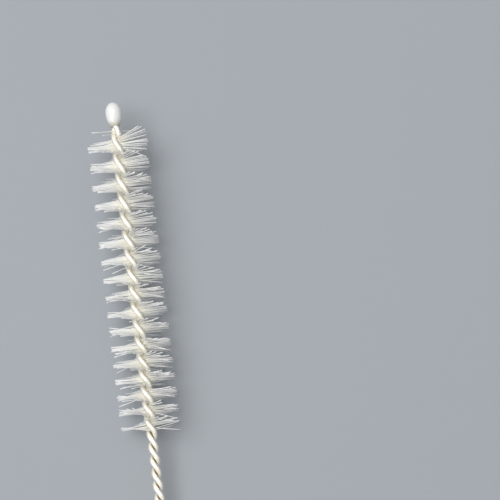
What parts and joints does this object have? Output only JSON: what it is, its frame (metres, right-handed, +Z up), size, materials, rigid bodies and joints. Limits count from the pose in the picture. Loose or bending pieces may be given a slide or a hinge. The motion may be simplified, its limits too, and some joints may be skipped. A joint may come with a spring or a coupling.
{
  "type": "test tube brush",
  "caption": "Twisted-wire test tube brush: straight nylon bristles in a spiral, a moulded white bead on the tip and a wire hanging loop.",
  "frame": {"origin": "centre of the bottom of the bounding box, on the surface that the brush lies on", "axes": "+Y along the brush from the hanging loop to the bead, +Z up with the loop lying flat, +X across the loop"},
  "size_m": [0.013, 0.1748, 0.0148],
  "materials": {
    "wire": "bright drawn steel wire with a warm tint",
    "bristle": "clear white nylon monofilament",
    "bead": "glossy white moulded plastic"
  },
  "bodies": {
    "root": {"twisted_wire": "wire", "tip_bead": "bead", "bristle_row_01": "bristle", "bristle_row_02": "bristle", "bristle_row_03": "bristle", "bristle_row_04": "bristle", "bristle_row_05": "bristle", "bristle_row_06": "bristle", "bristle_row_07": "bristle", "bristle_row_08": "bristle", "bristle_row_09": "bristle", "bristle_row_10": "bristle", "bristle_row_11": "bristle", "bristle_row_12": "bristle", "bristle_row_13": "bristle", "bristle_row_14": "bristle", "bristle_row_15": "bristle", "bristle_row_16": "bristle", "bristle_row_17": "bristle"}
  },
  "joints": []
}
